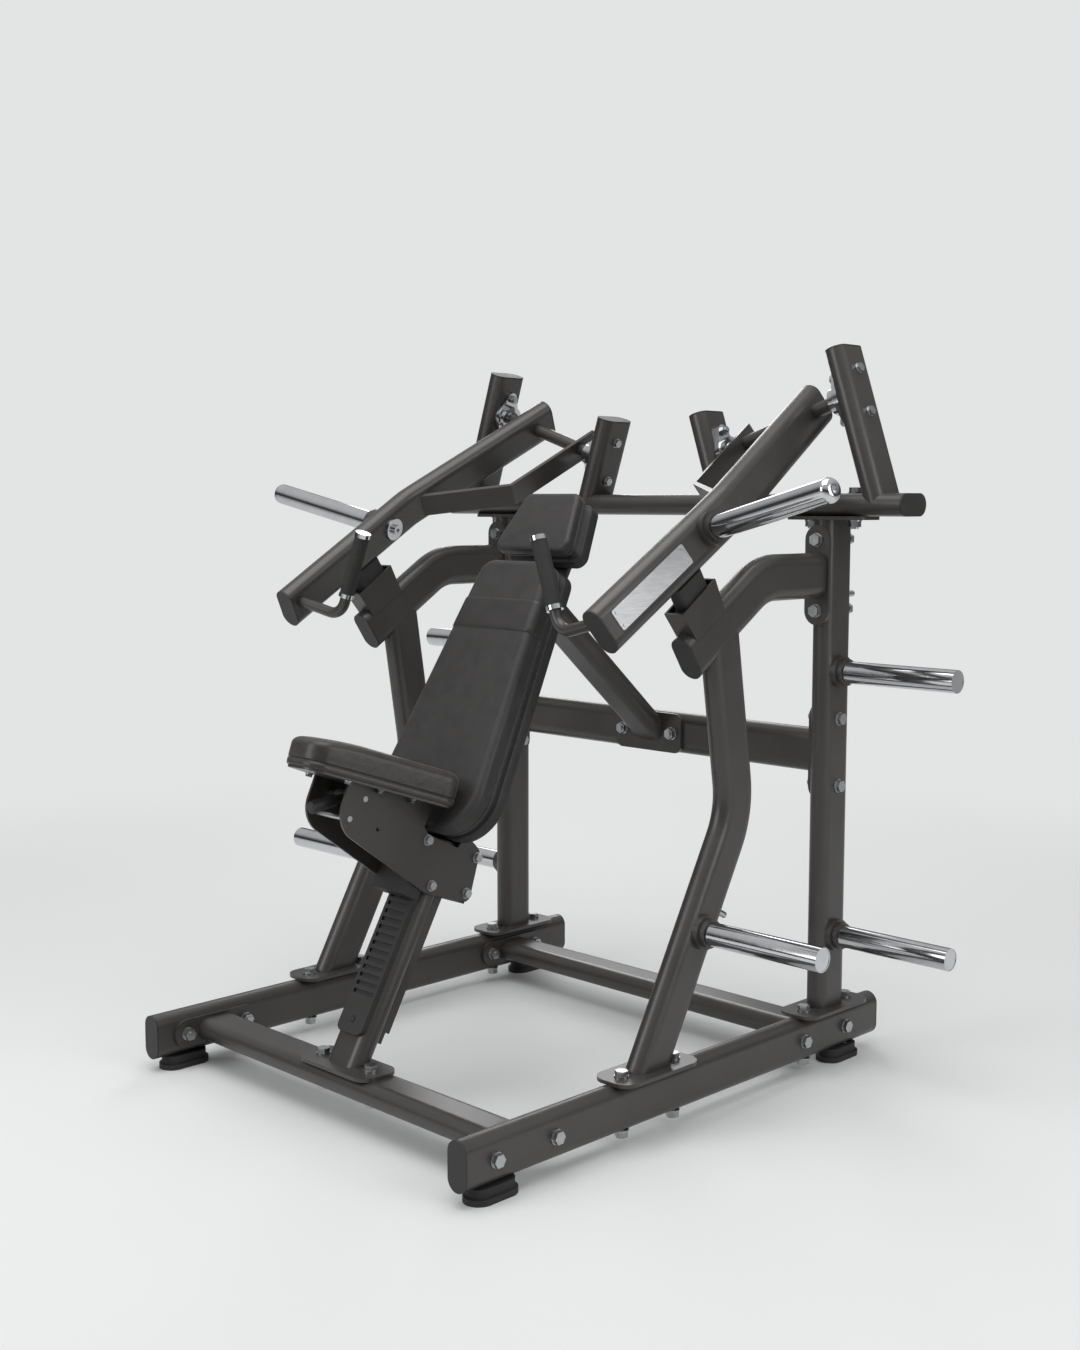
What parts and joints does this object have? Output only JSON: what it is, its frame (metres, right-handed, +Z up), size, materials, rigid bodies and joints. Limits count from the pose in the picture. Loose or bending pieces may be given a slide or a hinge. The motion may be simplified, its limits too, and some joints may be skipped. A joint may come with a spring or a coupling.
{
  "type": "chest press machine",
  "caption": "Plate-loaded incline chest press with two separately hinged press arms, storage horns, a reclined back and head pad, and a height-adjustable seat.",
  "frame": {"origin": "on the floor at the middle of the footprint", "axes": "+X the user's left, +Y to the rear where the pivots are, +Z up; the user faces -Y"},
  "size_m": [1.7426, 1.31, 1.623],
  "materials": {
    "paint": "satin charcoal powder coat",
    "chrome": "polished",
    "zinc": "bright zinc plate",
    "plate": "brushed, blank",
    "rubber": "matte",
    "pad_cover": "grained artificial leather",
    "plastic": "fine matte"
  },
  "bodies": {
    "frame": {"rail_left": "paint", "rail_right": "paint", "feet": "rubber", "tube_caps": "plastic", "front_crossbar": "paint", "rear_crossbar": "paint", "rear_post_left": "paint", "rear_post_right": "paint", "mid_crossbar": "paint", "top_crossbar": "paint", "uprights_left": "paint", "uprights_right": "paint", "bearings": "chrome", "bearing_bolts": "zinc", "stop_arm_left": "paint", "stop_arm_right": "paint", "front_post_left": "paint", "front_post_right": "paint", "strut": "paint", "seat_column": "paint", "rack_cover": "plastic", "pad_carrier": "paint", "back_cushion": "pad_cover", "back_shell": "pad_cover", "back_band": "pad_cover", "head_cushion": "pad_cover", "head_shell": "pad_cover", "storage_horns": "chrome", "short_bolts": "zinc", "long_bolts": "zinc", "washers": "zinc", "nuts": "zinc", "post_pins": "zinc"},
    "press_arm_left": {"arm_left": "paint", "brace_left": "paint", "shaft_left": "paint", "arm_horn_left": "chrome", "arm_caps_left": "plastic", "name_plate_left": "plate", "handle_left": "paint", "grip_left": "rubber", "grip_trim_left": "chrome", "bumper_left": "rubber"},
    "press_arm_right": {"arm_right": "paint", "brace_right": "paint", "shaft_right": "paint", "arm_horn_right": "chrome", "arm_caps_right": "plastic", "name_plate_right": "plate", "handle_right": "paint", "grip_right": "rubber", "grip_trim_right": "chrome", "bumper_right": "rubber"},
    "carriage": {"side_plates": "paint", "guide_blocks": "plastic", "rollers": "plastic", "carriage_bolts": "zinc", "seat_pan": "paint", "seat_cushion": "pad_cover"},
    "lever": {"seat_lever": "plastic"}
  },
  "joints": [
    {"name": "press_left", "type": "hinge", "parent": "frame", "child": "press_arm_left", "pos_m": [0.4389, 0.478, 1.4744], "axis": [-0.9489, 0, -0.3156], "range_deg": [0, 50]},
    {"name": "press_right", "type": "hinge", "parent": "frame", "child": "press_arm_right", "pos_m": [-0.4389, 0.478, 1.4744], "axis": [-0.9489, 0, 0.3156], "range_deg": [0, 50]},
    {"name": "seat_height", "type": "slide", "parent": "frame", "child": "carriage", "axis": [0, -0.4909, -0.8712], "range_m": [0, 0.198]},
    {"name": "lever_pull", "type": "hinge", "parent": "carriage", "child": "lever", "pos_m": [0, -0.49144, 0.67753], "axis": [-1, 0, 0], "range_deg": [0, 14], "stiffness_Nm_per_rad": 1.5}
  ]
}
